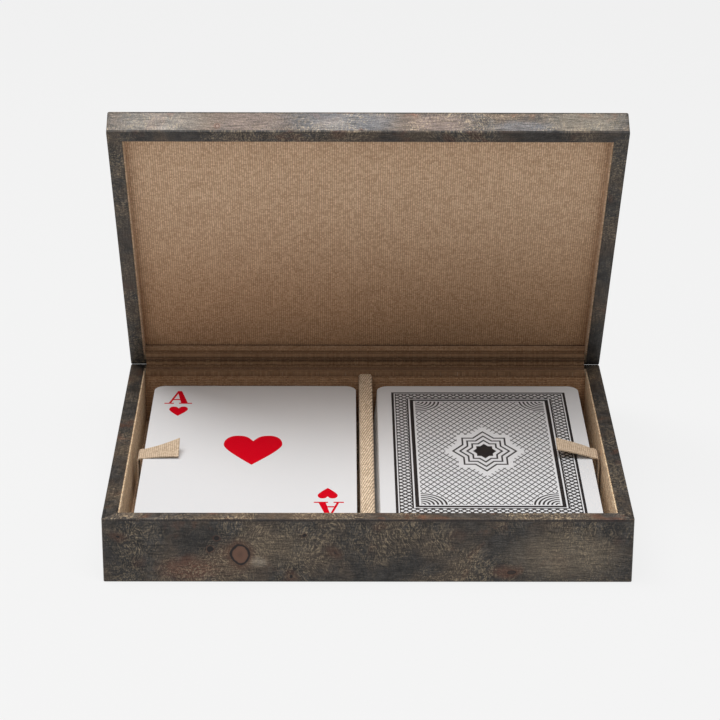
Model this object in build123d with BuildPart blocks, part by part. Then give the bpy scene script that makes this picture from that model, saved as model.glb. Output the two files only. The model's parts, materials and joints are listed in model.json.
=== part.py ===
from build123d import *
from math import cos, radians, sin, tan
import os

# A hinged-lid box for two decks of playing cards: a veneered case with a divider,
# a shallow lid on two small butt hinges, woven linings, a lifting ribbon for each deck.
#
# Millimetres and degrees. The origin is the middle of the underside: +X runs to the
# right, +Y to the hinges at the back, +Z up. The lid is drawn propped open.

# ---- Cards and the room round them --------------------------------------------------
card_width = 57.15
card_length = 88.9
card_thickness = 0.22
card_corner = 3.2
air_between_cards = 0.005
cards_in_deck = 52

spare_width = 4.0  # room beside a deck, in all
spare_length = 3.9  # room before and behind a deck, in all
headroom = 3.6  # from the top card up to the rim
left_deck_gap = 0.85  # from the divider to each deck
right_deck_gap = 1.4
deck_front_gap = 0.8
left_deck_lean = 0.2  # how much nearer the divider the bottom card lies than the top one
right_deck_lean = 1.1

# ---- Case ---------------------------------------------------------------------------
core_thickness = 3.2
veneer_thickness = 0.6
side_lining_thickness = 0.4
floor_lining_thickness = 0.5
floor_board_thickness = 1.45
felt_thickness = 0.2
felt_inset = 1.5
lining_drop = 0.3  # how far the side linings stop short of the rim
divider_thickness = 3.8
divider_cover_thickness = 0.5
divider_drop = 1.0  # how far the divider's top lies below the rim
divider_rounding = 0.9
corner_radius = 0.5
rim_ease = 0.1
foot_ease = 0.15  # rounding along the bottom of the outer veneers

# ---- Lid ----------------------------------------------------------------------------
lid_recess = 3.7  # hollow inside the lid, below its lined panel
lid_board_thickness = 2.15
lid_top_radius = 0.4
lid_open_angle = 58.7  # how far the lid stands open as drawn
lid_stop_angle = 100.0  # where the hinge cloth goes taut
closing_gap = 0.1  # left between the two rims when the lid is shut

# ---- Hinges and hinge cloth ---------------------------------------------------------
hinge_inset = 25.0  # from each end of the box to the middle of a hinge
hinge_length = 12.0
leaf_thickness = 0.4
leaf_depth = 3.1
pin_radius = 0.45
pin_clearance = 0.04
knuckle_clearance = 0.1
seat_clearance = 0.05
relief_clearance = 0.2
screw_head_radius = 0.8
screw_radius = 0.4
screw_length = 3.4
screw_clearance = 0.02
screw_spacing = 7.0
screw_setback = 1.85  # from the pins to a leaf's screws
cloth_thickness = 0.4
cloth_lap = 1.0  # glued to each back wall below the rim
cloth_end_gap = 0.3
strip_gap = 0.15  # between the cloth and the back strips of rim veneer

# ---- Ribbons ------------------------------------------------------------------------
ribbon_width = 6.0
ribbon_thickness = 0.4
ribbon_y = -3.5
ribbon_tail = 9.5  # lies over the top card
ribbon_side_gap = 0.6  # between a deck's edge and its ribbon
ribbon_bend = 0.8
ribbon_crown = 0.2  # how far the ribbon stands over the deck's edge
left_tail_rise = 1.9  # how far up each tail's end stands from the top card
right_tail_rise = 2.85

# ---- Sizes that follow --------------------------------------------------------------
wall = core_thickness + veneer_thickness
lined_wall = wall + side_lining_thickness
compartment_width = card_width + spare_width
box_width = 2 * (compartment_width + lined_wall) + divider_thickness
box_depth = card_length + spare_length + 2 * lined_wall
core_width = box_width - 2 * veneer_thickness
core_depth = box_depth - 2 * veneer_thickness
inner_width = box_width - 2 * wall
inner_depth = box_depth - 2 * wall
lined_width = box_width - 2 * lined_wall
lined_depth = box_depth - 2 * lined_wall

floor_level = felt_thickness + floor_board_thickness
lining_level = floor_level + floor_lining_thickness
deck_level = lining_level + ribbon_thickness
card_pitch = card_thickness + air_between_cards
deck_top = deck_level + cards_in_deck * card_pitch - air_between_cards
base_height = deck_level + cards_in_deck * card_pitch + headroom
base_core_top = base_height - veneer_thickness

# Levels in the lid are counted from the hinge pins, square to its rim.
axis_height = base_height + closing_gap / 2
lid_rim_level = closing_gap / 2
lid_core_level = lid_rim_level + veneer_thickness
lid_panel_level = lid_rim_level + lid_recess
lid_board_level = lid_panel_level + floor_lining_thickness
lid_veneer_level = lid_board_level + lid_board_thickness
lid_top_level = lid_veneer_level + veneer_thickness

# The pins lie on the line where the box's back face meets the rims.
axis_y = box_depth / 2
tilt = radians(lid_open_angle)
lid_up = (0, sin(tilt), cos(tilt))
lid_middle = (0, axis_y - box_depth / 2 * cos(tilt), axis_height + box_depth / 2 * sin(tilt))
lid_plane = Plane(origin=lid_middle, x_dir=(1, 0, 0), z_dir=lid_up)

# The leaves lie on the core boards' edges, so the knuckle reaches down to their undersides.
leaf_level = closing_gap / 2 + veneer_thickness
knuckle_radius = leaf_level + leaf_thickness
hinge_places = (hinge_inset - box_width / 2, box_width / 2 - hinge_inset)

# The cloth between its two glued laps is as long as the taut chord at the lid's stop.
# As drawn, it is tucked this far back over each rim, and crosses over in front of the pins.
half_open = sin(tilt / 2)
cloth_tuck = wall * (sin(radians(lid_stop_angle) / 2) - half_open) / (1 - half_open)
tuck_end = wall - cloth_tuck

# The narrow back strip of rim veneer starts behind the cloth, which slants as it crosses.
strip_y = axis_y - tuck_end + veneer_thickness * tan(tilt / 2) + strip_gap

os.makedirs("parts", exist_ok=True)


def save(piece, name):
    """Labels one finished piece and writes it."""
    piece.label = name
    export_step(piece, f"parts/{name}.step")


def side_plan(side, width, depth, thickness):
    """The mitred plan of one side of a rectangular frame with this outer size and wall."""
    x, y = width / 2, depth / 2
    inner_x, inner_y = x - thickness, y - thickness
    plans = {
        "front": [(-x, -y), (x, -y), (inner_x, -inner_y), (-inner_x, -inner_y)],
        "back": [(x, y), (-x, y), (-inner_x, inner_y), (inner_x, inner_y)],
        "left": [(-x, y), (-x, -y), (-inner_x, -inner_y), (-inner_x, inner_y)],
        "right": [(x, -y), (x, y), (inner_x, inner_y), (inner_x, -inner_y)],
    }
    return plans[side]


def rim_plan(side):
    """The plan of one strip of rim veneer: mitred in front, butted at the narrow back strip."""
    x, y = box_width / 2, box_depth / 2
    inner_x, inner_y = x - wall, y - wall
    plans = {
        "front": [(-x, -y), (x, -y), (inner_x, -inner_y), (-inner_x, -inner_y)],
        "back": [(inner_x, y), (-inner_x, y), (-inner_x, strip_y), (inner_x, strip_y)],
        "left": [(-x, y), (-x, -y), (-inner_x, -inner_y), (-inner_x, y)],
        "right": [(x, -y), (x, y), (inner_x, y), (inner_x, -inner_y)],
    }
    return plans[side]


def leaf_plane(x, of_lid):
    """A plane on the pin at x: +Z into the wood that the leaf is screwed to, +Y inwards."""
    if of_lid:
        return Plane(origin=(x, axis_y, axis_height), x_dir=(-1, 0, 0), z_dir=lid_up)
    return Plane(origin=(x, axis_y, axis_height), x_dir=(1, 0, 0), z_dir=(0, 0, -1))


def turned_length(x, start, end, radius, mode):
    """Adds or cuts a round bar about the pin, from start to end along the hinge at x."""
    across = Plane(origin=(x + start, axis_y, axis_height), x_dir=(0, 1, 0), z_dir=(1, 0, 0))
    with BuildSketch(across) as section:
        Circle(radius)
    extrude(section.sketch, amount=end - start, mode=mode)


def screw_pair(plane, clearance, mode):
    """Adds the two countersunk screws of one leaf, or cuts their holes with a clearance."""
    head_height = screw_head_radius - screw_radius
    places = [(-screw_spacing / 2, screw_setback), (screw_spacing / 2, screw_setback)]
    with BuildSketch(plane.offset(leaf_level)) as heads:
        with Locations(*places):
            Circle(screw_head_radius + clearance)
    extrude(heads.sketch, amount=head_height, taper=45, mode=mode)
    with BuildSketch(plane.offset(leaf_level)) as shanks:
        with Locations(*places):
            Circle(screw_radius + clearance)
    extrude(shanks.sketch, amount=screw_length + clearance, mode=mode)


def cut_hinge_seats(of_lid):
    """Cuts the mortises, slots, knuckle reliefs and screw holes of both hinges."""
    for x in hinge_places:
        plane = leaf_plane(x, of_lid)
        with BuildSketch(plane.offset(leaf_level - seat_clearance)) as seat:
            Rectangle(
                hinge_length + 2 * seat_clearance,
                leaf_depth + seat_clearance,
                align=(Align.CENTER, Align.MIN),
            )
        extrude(seat.sketch, amount=leaf_thickness + seat_clearance, mode=Mode.SUBTRACT)
        with BuildSketch(plane) as slot:
            Rectangle(hinge_length + 2 * relief_clearance, 2 * tuck_end)
        extrude(slot.sketch, amount=leaf_level, mode=Mode.SUBTRACT)
        reach = hinge_length / 2 + relief_clearance
        turned_length(x, -reach, reach, knuckle_radius + relief_clearance, Mode.SUBTRACT)
        screw_pair(plane, screw_clearance, Mode.SUBTRACT)


# ---- Outer forms, which round the veneers' outside edges ------------------------------
with BuildPart() as base_form:
    with BuildSketch(Plane.XY.offset(felt_thickness)):
        Rectangle(box_width, box_depth)
    extrude(amount=base_height - felt_thickness)
    fillet(base_form.edges().filter_by(Axis.Z), corner_radius)
    fillet(base_form.faces().sort_by(Axis.Z)[0].edges(), foot_ease)
    fillet(base_form.faces().sort_by(Axis.Z)[-1].edges(), rim_ease)

lid_axis = Axis(lid_middle, lid_up)
with BuildPart() as lid_form:
    with BuildSketch(lid_plane.offset(lid_rim_level)):
        Rectangle(box_width, box_depth)
    extrude(amount=lid_top_level - lid_rim_level)
    fillet(lid_form.edges().filter_by(lid_axis), corner_radius)
    fillet(lid_form.faces().sort_by(lid_axis)[-1].edges(), lid_top_radius)
    fillet(lid_form.faces().sort_by(lid_axis)[0].edges(), rim_ease)

# ---- Case and lid frames: core boards, outer veneers and rim strips ------------------
for name, plane, form, core_low, core_high, rim_low, of_lid in (
    ("base", Plane.XY, base_form, felt_thickness, base_core_top, base_core_top, False),
    ("lid", lid_plane, lid_form, lid_core_level, lid_veneer_level, lid_rim_level, True),
):
    for side in ("front", "back", "left", "right"):
        with BuildPart() as board:
            with BuildSketch(plane.offset(core_low)):
                Polygon(*side_plan(side, core_width, core_depth, core_thickness), align=None)
            extrude(amount=core_high - core_low)
            if side == "back":
                cut_hinge_seats(of_lid)
        save(board.part, f"{name}_{side}_board")

        with BuildPart() as veneer:
            with BuildSketch(plane.offset(core_low)):
                Polygon(*side_plan(side, box_width, box_depth, veneer_thickness), align=None)
            extrude(amount=core_high - core_low)
            add(form.part, mode=Mode.INTERSECT)
            if side == "back":
                cut_hinge_seats(of_lid)
        save(veneer.part, f"{name}_{side}_veneer")

        with BuildPart() as rim:
            with BuildSketch(plane.offset(rim_low)):
                Polygon(*rim_plan(side), align=None)
            extrude(amount=veneer_thickness)
            add(form.part, mode=Mode.INTERSECT)
            if side == "back":
                cut_hinge_seats(of_lid)
        save(rim.part, f"{name}_{side}_rim")

# ---- Underside and floor --------------------------------------------------------------
with BuildPart() as base_felt:
    with BuildSketch():
        RectangleRounded(box_width - 2 * felt_inset, box_depth - 2 * felt_inset, corner_radius)
    extrude(amount=felt_thickness)
save(base_felt.part, "base_felt")

with BuildPart() as base_floor_board:
    with BuildSketch(Plane.XY.offset(felt_thickness)):
        Rectangle(inner_width, inner_depth)
    extrude(amount=floor_board_thickness)
save(base_floor_board.part, "base_floor_board")

# ---- Linings of the case ----------------------------------------------------------------
for side in ("front", "back", "left", "right"):
    lining_top = base_core_top - cloth_lap if side == "back" else base_height - lining_drop
    with BuildPart() as lining:
        with BuildSketch(Plane.XY.offset(floor_level)):
            Polygon(*side_plan(side, inner_width, inner_depth, side_lining_thickness), align=None)
        extrude(amount=lining_top - floor_level)
    save(lining.part, f"base_{side}_lining")

for name, direction in (("left", -1), ("right", 1)):
    middle = direction * (divider_thickness + compartment_width) / 2
    with BuildPart() as floor_lining:
        with BuildSketch(Plane.XY.offset(floor_level)):
            with Locations((middle, 0)):
                Rectangle(compartment_width, lined_depth)
        extrude(amount=floor_lining_thickness)
    save(floor_lining.part, f"{name}_floor_lining")

# ---- Divider: a core strip under a folded cover -----------------------------------------
divider_top = base_height - divider_drop
divider_core_width = divider_thickness - 2 * divider_cover_thickness
with BuildPart() as divider_core:
    with BuildSketch(Plane.XY.offset(floor_level)):
        Rectangle(divider_core_width, lined_depth)
    extrude(amount=divider_top - divider_cover_thickness - floor_level)
save(divider_core.part, "divider_core")

with BuildPart() as divider_cover:
    with BuildSketch(Plane.XY.offset(floor_level)):
        Rectangle(divider_thickness, lined_depth)
    extrude(amount=divider_top - floor_level)
    fillet(divider_cover.faces().sort_by(Axis.Z)[-1].edges().filter_by(Axis.Y), divider_rounding)
    add(divider_core.part, mode=Mode.SUBTRACT)
save(divider_cover.part, "divider_cover")

# ---- Lid: top board, top veneer, lined panel and side linings -----------------------------
with BuildPart() as lid_top_board:
    with BuildSketch(lid_plane.offset(lid_board_level)):
        Rectangle(inner_width, inner_depth)
    extrude(amount=lid_board_thickness)
save(lid_top_board.part, "lid_top_board")

with BuildPart() as lid_top_veneer:
    with BuildSketch(lid_plane.offset(lid_veneer_level)):
        Rectangle(box_width, box_depth)
    extrude(amount=veneer_thickness)
    add(lid_form.part, mode=Mode.INTERSECT)
save(lid_top_veneer.part, "lid_top_veneer")

with BuildPart() as lid_panel_lining:
    with BuildSketch(lid_plane.offset(lid_panel_level)):
        Rectangle(inner_width, inner_depth)
    extrude(amount=floor_lining_thickness)
save(lid_panel_lining.part, "lid_panel_lining")

for side in ("front", "back", "left", "right"):
    lining_low = lid_core_level + cloth_lap if side == "back" else lid_rim_level + lining_drop
    with BuildPart() as lining:
        with BuildSketch(lid_plane.offset(lining_low)):
            Polygon(*side_plan(side, inner_width, inner_depth, side_lining_thickness), align=None)
        extrude(amount=lid_panel_level - lining_low)
    save(lining.part, f"lid_{side}_lining")

# ---- Hinges: two leaves with interlocking knuckles, on one pin ----------------------------
third = hinge_length / 3
outer_spans = [(-hinge_length / 2, -third / 2 - knuckle_clearance)]
outer_spans.append((third / 2 + knuckle_clearance, hinge_length / 2))
middle_span = [(-third / 2, third / 2)]
bore_radius = pin_radius + pin_clearance

for hinge, x in zip(("left", "right"), hinge_places):
    for name, of_lid, own, other in (
        ("base", False, outer_spans, middle_span),
        ("lid", True, middle_span, outer_spans),
    ):
        with BuildPart() as leaf:
            with BuildSketch(leaf_plane(x, of_lid).offset(leaf_level)):
                Rectangle(hinge_length, leaf_depth, align=(Align.CENTER, Align.MIN))
            extrude(amount=leaf_thickness)
            for start, end in other:
                start, end = start - knuckle_clearance, end + knuckle_clearance
                relief = knuckle_radius + knuckle_clearance
                turned_length(x, start, end, relief, Mode.SUBTRACT)
            for start, end in own:
                turned_length(x, start, end, knuckle_radius, Mode.ADD)
            turned_length(x, -hinge_length, hinge_length, bore_radius, Mode.SUBTRACT)
            screw_pair(leaf_plane(x, of_lid), screw_clearance, Mode.SUBTRACT)
        save(leaf.part, f"{hinge}_hinge_{name}_leaf")

    with BuildPart() as pin:
        turned_length(x, -hinge_length / 2, hinge_length / 2, pin_radius, Mode.ADD)
    save(pin.part, f"{hinge}_hinge_pin")

for name, of_lid in (("base", False), ("lid", True)):
    with BuildPart() as screws:
        for x in hinge_places:
            screw_pair(leaf_plane(x, of_lid), 0, Mode.ADD)
    save(screws.part, f"{name}_hinge_screws")


# ---- Hinge cloth: lapped on both back walls, tucked over both rims ------------------------
def base_point(inwards, upwards):
    """A point of the case's back wall in the YZ plane, counted from the pin."""
    return (axis_y - inwards, axis_height - upwards)


def lid_point(inwards, upwards):
    """The same point of the lid's back wall: the case's, mirrored and swung open."""
    y = axis_y - inwards * cos(tilt) + upwards * sin(tilt)
    z = axis_height + inwards * sin(tilt) + upwards * cos(tilt)
    return (y, z)


lap_level = leaf_level + cloth_lap
cloth_top = leaf_level - cloth_thickness
wall_side = [(wall, lap_level), (wall, leaf_level), (tuck_end, leaf_level)]
face_side = [
    (tuck_end + cloth_thickness / 2, cloth_top),
    (wall + cloth_thickness, cloth_top),
    (wall + cloth_thickness, lap_level),
]
with BuildPart() as hinge_cloth:
    with BuildSketch(Plane.YZ.offset(cloth_end_gap - lined_width / 2)):
        outline = [base_point(*p) for p in wall_side]
        outline += [lid_point(*p) for p in reversed(wall_side)]
        outline += [lid_point(*p) for p in reversed(face_side)]
        outline += [base_point(*p) for p in face_side]
        Polygon(*outline, align=None)
    extrude(amount=lined_width - 2 * cloth_end_gap)
save(hinge_cloth.part, "hinge_cloth")

# ---- Decks: a stack of loose cards under one top card, and the ribbon that lifts it ------
for name, direction, gap, lean, top_card, tail_rise in (
    ("left", -1, left_deck_gap, left_deck_lean, "ace_card", left_tail_rise),
    ("right", 1, right_deck_gap, right_deck_lean, "patterned_card", right_tail_rise),
):
    deck_x = direction * (divider_thickness / 2 + gap + card_width / 2)
    deck_y = deck_front_gap + card_length / 2 - lined_depth / 2
    with BuildPart() as card:
        with BuildSketch(Plane.XY.offset(deck_level)):
            with Locations((deck_x, deck_y)):
                RectangleRounded(card_width, card_length, card_corner)
        extrude(amount=card_thickness)
    lean_step = direction * lean / (cards_in_deck - 1)
    stack = [
        card.part.moved(Location(((n + 1 - cards_in_deck) * lean_step, 0, n * card_pitch)))
        for n in range(cards_in_deck)
    ]
    save(Compound(children=stack[:-1]), f"{name}_deck")
    save(stack[-1], top_card)

    # The ribbon runs under the deck, up beside it, and back over its edge as a free tail.
    edge = deck_x + direction * card_width / 2
    upright = edge + direction * (ribbon_side_gap + ribbon_thickness)
    anchored = deck_x - direction * card_width / 2
    crown = deck_top + ribbon_crown + ribbon_thickness
    route = [
        (anchored, lining_level),
        (upright, lining_level),
        (upright, crown),
        (edge - direction * ribbon_tail, deck_top + ribbon_thickness + tail_rise),
    ]
    with BuildPart() as ribbon:
        with BuildSketch(Plane.XZ.offset(-ribbon_y - ribbon_width / 2)):
            with BuildLine():
                path = FilletPolyline(*route, radius=[ribbon_bend, ribbon_bend])
                side = Side.LEFT if direction > 0 else Side.RIGHT
                offset(path, amount=ribbon_thickness, side=side)
            make_face()
        extrude(amount=ribbon_width)
    save(ribbon.part, f"{name}_ribbon")

print(f"closed box {box_width:.2f} x {box_depth:.2f} x {axis_height + lid_top_level:.2f}")
print(f"rim {base_height:.2f}, top card {deck_top:.2f}, hinge cloth tuck {cloth_tuck:.2f}")
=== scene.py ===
import json
from math import cos, pi, radians, sin

import bmesh
import bpy
from mathutils import Matrix, Vector


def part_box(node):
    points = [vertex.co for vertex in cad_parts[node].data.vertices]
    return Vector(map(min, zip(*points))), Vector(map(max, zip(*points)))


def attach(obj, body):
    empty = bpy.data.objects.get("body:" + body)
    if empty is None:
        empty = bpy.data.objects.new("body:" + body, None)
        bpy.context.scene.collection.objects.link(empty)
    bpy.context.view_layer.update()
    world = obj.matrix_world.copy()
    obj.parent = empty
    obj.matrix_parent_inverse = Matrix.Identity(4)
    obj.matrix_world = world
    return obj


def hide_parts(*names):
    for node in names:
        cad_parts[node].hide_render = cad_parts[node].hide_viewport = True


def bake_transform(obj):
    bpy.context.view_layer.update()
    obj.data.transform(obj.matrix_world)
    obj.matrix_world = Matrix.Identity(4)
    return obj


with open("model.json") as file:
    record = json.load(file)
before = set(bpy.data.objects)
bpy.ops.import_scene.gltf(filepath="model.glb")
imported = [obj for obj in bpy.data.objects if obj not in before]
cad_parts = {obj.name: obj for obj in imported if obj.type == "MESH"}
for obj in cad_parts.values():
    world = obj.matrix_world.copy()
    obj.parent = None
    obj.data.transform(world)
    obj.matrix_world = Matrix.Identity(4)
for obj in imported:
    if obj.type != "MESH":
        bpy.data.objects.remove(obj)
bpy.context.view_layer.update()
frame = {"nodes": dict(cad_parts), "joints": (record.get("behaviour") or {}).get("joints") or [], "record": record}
nodes = frame["nodes"]
record = frame["record"]
SLOT_OF = {part["node"]: part["material_slot"] for part in record["subparts"]}
BODY_OF = {n: body for body, names in record["behaviour"]["bodies"].items() for n in names}

MM = 0.001
UP = Vector((0, 0, 1))

# ---- Places, read from the frame -------------------------------------------------------------
PIN = Vector(next(j["pos_m"] for j in frame["joints"] if j["name"] == "lid_hinge"))
LID_ANGLE = radians(58.7)  # how far the lid stands open in the photo's pose
LID_OUT = Vector((0, sin(LID_ANGLE), cos(LID_ANGLE)))  # from the lid's rim to its top
LID_BACK = Vector((0, cos(LID_ANGLE), -sin(LID_ANGLE)))  # from the lid's front to the pins
CARD_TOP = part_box("ace_card")[1].z


def middle(node):
    low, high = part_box(node)
    return (low + high) / 2


# ---- Pieces ----------------------------------------------------------------------------------
SHARP_FROM = radians(40)
MERGE_WITHIN = 0.0001 * MM
WELD_WITHIN = 0.001 * MM  # for a node's own mesh
LEVEL_WITHIN = 0.01 * MM


def of_kind(kind, geometry):
    """Those parts of a mesh that are vertices, or those that are edges."""
    return [part for part in geometry if isinstance(part, kind)]


def add_piece(name, bm, material, body=None, node=None):
    """Makes a piece of a bmesh: it rides on a body and stands for a node of the frame."""
    bmesh.ops.remove_doubles(bm, verts=bm.verts, dist=MERGE_WITHIN)
    bmesh.ops.recalc_face_normals(bm, faces=bm.faces)
    mesh = bpy.data.meshes.new(name)
    bm.to_mesh(mesh)
    bm.free()
    for face in mesh.polygons:
        face.use_smooth = True
    mesh.set_sharp_from_angle(angle=SHARP_FROM)
    piece = bpy.data.objects.new(name, mesh)
    bpy.context.scene.collection.objects.link(piece)
    mesh.materials.append(material)
    if node:
        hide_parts(node)
    if body:
        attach(piece, body)
    return piece


def dress(node, material):
    """Gives a node of the frame its finish, and leaves its shape alone."""
    nodes[node].data.materials.clear()
    nodes[node].data.materials.append(material)


def soft_copy(node, material, out, rounding):
    """A cloth-covered strip with its node's form, its edges on the out side rounded."""
    bm = bmesh.new()
    bm.from_mesh(nodes[node].data)
    bmesh.ops.remove_doubles(bm, verts=bm.verts, dist=WELD_WITHIN)
    bmesh.ops.dissolve_limit(bm, angle_limit=radians(1), verts=bm.verts, edges=bm.edges)
    level = max(v.co.dot(out) for v in bm.verts) - LEVEL_WITHIN
    rim = [e for e in bm.edges if all(v.co.dot(out) > level for v in e.verts)]
    if rounding:
        bmesh.ops.bevel(bm, geom=rim, offset=rounding, segments=3, profile=0.5,
                        affect="EDGES", material=-1)
    return add_piece(node + "_cloth", bm, material, BODY_OF[node], node)


# ---- Finishes --------------------------------------------------------------------------------
class Finish:
    """One material's nodes, added by short calls. Patterns are laid out in millimetres."""

    SOCKETS = {"colour": "Base Color", "rough": "Roughness", "metal": "Metallic",
               "gloss": "Specular IOR Level", "sheen": "Sheen Weight",
               "sheen_rough": "Sheen Roughness"}

    def __init__(self, name):
        self.material = bpy.data.materials.new(name)
        self.material.use_nodes = True
        self.tree = self.material.node_tree
        self.shader = self.tree.nodes["Principled BSDF"]

    def node(self, kind, **settings):
        made = self.tree.nodes.new("ShaderNode" + kind)
        for key, value in settings.items():
            setattr(made, key, value)
        return made

    def put(self, socket, value):
        if isinstance(value, bpy.types.NodeSocket):
            self.tree.links.new(value, socket)
        elif isinstance(value, tuple) and socket.type == "RGBA":
            socket.default_value = (*value, 1)
        elif value is not None:
            socket.default_value = value

    def fill(self, made, *values):
        for socket, value in zip(made.inputs, values):
            self.put(socket, value)
        return made.outputs[0]

    def math(self, operation, *values):
        return self.fill(self.node("Math", operation=operation), *values)

    def add(self, a, b):
        return self.math("ADD", a, b)

    def times(self, a, b):
        return self.math("MULTIPLY", a, b)

    def vector(self, operation, a, b=None):
        made = self.node("VectorMath", operation=operation)
        self.put(made.inputs[0], a)
        self.put(made.inputs["Scale" if operation == "SCALE" else 1], b)
        return made.outputs["Value" if operation == "LENGTH" else "Vector"]

    def split(self, where):
        made = self.node("SeparateXYZ")
        self.put(made.inputs[0], where)
        return made.outputs

    def join(self, x, y, z=0.0):
        return self.fill(self.node("CombineXYZ"), x, y, z)

    def pick(self, place, axes):
        """The coordinates that a few letters name, as XZ does."""
        return [place["XYZ".index(axis)] for axis in axes]

    def place(self, of_lid=False):
        """Where a point is, in millimetres: x, y, z, or in the lid x, towards its back, out."""
        where = self.node("TexCoord").outputs["Object"]
        made = self.node("Mapping", vector_type="POINT")
        self.put(made.inputs["Vector"], where)
        made.inputs["Scale"].default_value = (1 / MM, 1 / MM, 1 / MM)
        if of_lid:
            turn = Matrix.Rotation(LID_ANGLE, 3, "X")
            made.inputs["Rotation"].default_value = (LID_ANGLE, 0, 0)
            made.inputs["Location"].default_value = -(turn @ PIN) / MM
        return made.outputs["Vector"]

    def stretch(self, where, x, y, z=1.0, shift=(0, 0, 0), turn=0.0):
        made = self.node("Mapping", vector_type="POINT")
        self.put(made.inputs["Vector"], where)
        made.inputs["Location"].default_value = shift
        made.inputs["Rotation"].default_value = (0, 0, turn)
        made.inputs["Scale"].default_value = (x, y, z)
        return made.outputs["Vector"]

    def noise(self, where, scale, detail=2.0, rough=0.5, twist=0.0, colour=False):
        made = self.node("TexNoise")
        for key, value in (("Vector", where), ("Scale", scale), ("Detail", detail),
                           ("Roughness", rough), ("Distortion", twist)):
            self.put(made.inputs[key], value)
        return made.outputs["Color" if colour else "Fac"]

    def waver(self, where, scale, rough=0.6):
        """A slow drift to any side, up to half a unit each way."""
        drift = self.noise(where, scale, 2, rough, colour=True)
        return self.vector("SUBTRACT", drift, (0.5, 0.5, 0.5))

    def cells(self, where, scale, feature="F1"):
        made = self.node("TexVoronoi", feature=feature)
        self.put(made.inputs["Vector"], where)
        self.put(made.inputs["Scale"], scale)
        return made.outputs

    def chance(self, where):
        """A number from 0 to 1 that is another one at each place."""
        made = self.node("TexWhiteNoise", noise_dimensions="3D")
        self.put(made.inputs["Vector"], where)
        return made.outputs["Value"]

    def step(self, value, low, high, to_low=0.0, to_high=1.0):
        """Goes smoothly from to_low to to_high as value goes from low to high."""
        made = self.node("MapRange", interpolation_type="SMOOTHSTEP")
        if low > high:
            low, high, to_low, to_high = high, low, to_high, to_low
        return self.fill(made, value, low, high, to_low, to_high)

    def hump(self, value):
        """A thread's roundness, where value counts the threads: 0 between two, 1 on top."""
        return self.math("SINE", self.times(self.math("FRACT", value), pi))

    def mix(self, share, a, b, blend="MIX"):
        made = self.node("Mix", data_type="RGBA", blend_type=blend)
        self.put(made.inputs["Factor"], share)
        self.put(made.inputs[6], a)
        self.put(made.inputs[7], b)
        return made.outputs[2]

    def shade(self, colour, amount):
        """Makes a colour darker or lighter by a factor."""
        return self.vector("SCALE", colour, amount)

    def bump(self, height, depth):
        """Height from 0 to 1 is a relief this many millimetres deep."""
        made = self.node("Bump")
        self.put(made.inputs["Height"], height)
        made.inputs["Distance"].default_value = depth * MM
        self.tree.links.new(made.outputs[0], self.shader.inputs["Normal"])

    def set(self, **values):
        for key, value in values.items():
            self.put(self.shader.inputs[self.SOCKETS[key]], value)
        return self.material


# ---- Burl veneer -----------------------------------------------------------------------------
CHARCOAL = (0.017, 0.0155, 0.015)
SLATE = (0.040, 0.037, 0.035)
UMBER = (0.055, 0.040, 0.029)
OLIVE = (0.235, 0.183, 0.120)
RUSSET = (0.075, 0.030, 0.017)
BLACK_KNOT = (0.008, 0.006, 0.006)
EYES_PER_MM = 0.085
SATIN = 0.3


def radii_away(f, flat, x, y, wide, tall):
    """How far a point is from a mark's middle, counted in the mark's own radii."""
    own = f.stretch(flat, 1 / wide, 1 / tall, 0, shift=(-x / wide, -y / tall, 0))
    return f.vector("LENGTH", own, (0, 0, 0))


def burl_ground(f, bent, near, mottle, clouds):
    """The stain: charcoal and slate, umber and russet drifts, and the clouds given."""
    drift = f.noise(bent, 0.07, 3, 0.6)
    redness = f.noise(f.stretch(bent, 1, 1, 1, shift=(31, 7, 5)), 0.11, 3, 0.6)
    colour = f.mix(f.step(mottle, 0.34, 0.68), CHARCOAL, SLATE)
    colour = f.mix(f.times(f.step(drift, 0.44, 0.62), 0.85), colour, UMBER)
    colour = f.mix(f.times(f.step(redness, 0.58, 0.70), 0.6), colour, RUSSET)
    for x, y, wide, tall, tone, share in clouds:
        far = radii_away(f, near, x, y, wide, tall)
        colour = f.mix(f.step(far, 1.3, 0.4, 0.0, share), colour, tone)
    return colour


def burl_strokes(f, colour, where, bent, strength):
    """Short light strokes across the grain, in patches."""
    curls = f.noise(f.stretch(bent, 3.0, 1.15, 1, turn=0.35), 1.0, 2, 0.6, 0.5)
    patches = f.step(f.noise(where, 0.06, 3, 0.55), 0.40, 0.62, 0.08, strength)
    return f.mix(f.times(f.step(curls, 0.44, 0.68), patches), colour, OLIVE)


def birds_eyes(f, colour, bent):
    """A dark spot in a reddish ring, in some cells of a wide net."""
    cells = f.cells(bent, EYES_PER_MM)
    far = f.times(cells["Distance"], 1 / EYES_PER_MM)
    chosen = f.step(f.chance(cells["Position"]), 0.62, 0.66)
    halo = f.times(f.step(far, 3.0, 0.6), chosen)
    colour = f.mix(f.times(halo, 0.5), colour, RUSSET)
    return f.mix(f.times(f.step(far, 0.7, 0.3), chosen), colour, BLACK_KNOT)


def burl_knots(f, colour, near, knots):
    """Knots where they are given: a ringed core, a black rim and a reddish halo."""
    for x, y, wide, tall, core, ring in knots:
        far = radii_away(f, near, x, y, wide, tall)
        colour = f.mix(f.step(far, 2.0, 0.9, 0.0, 0.65), colour, RUSSET)
        colour = f.mix(f.step(far, 1.0, 0.85), colour, core)
        rings = f.step(f.math("PINGPONG", far, ring), ring, 0.0, 0.0, 0.25)
        colour = f.mix(f.times(rings, f.step(far, 1.0, 0.9)), colour, BLACK_KNOT)
        rim = f.step(f.math("ABSOLUTE", f.add(far, -1.0)), 0.17, 0.05, 0.0, 0.95)
        colour = f.mix(rim, colour, BLACK_KNOT)
    return colour


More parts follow.
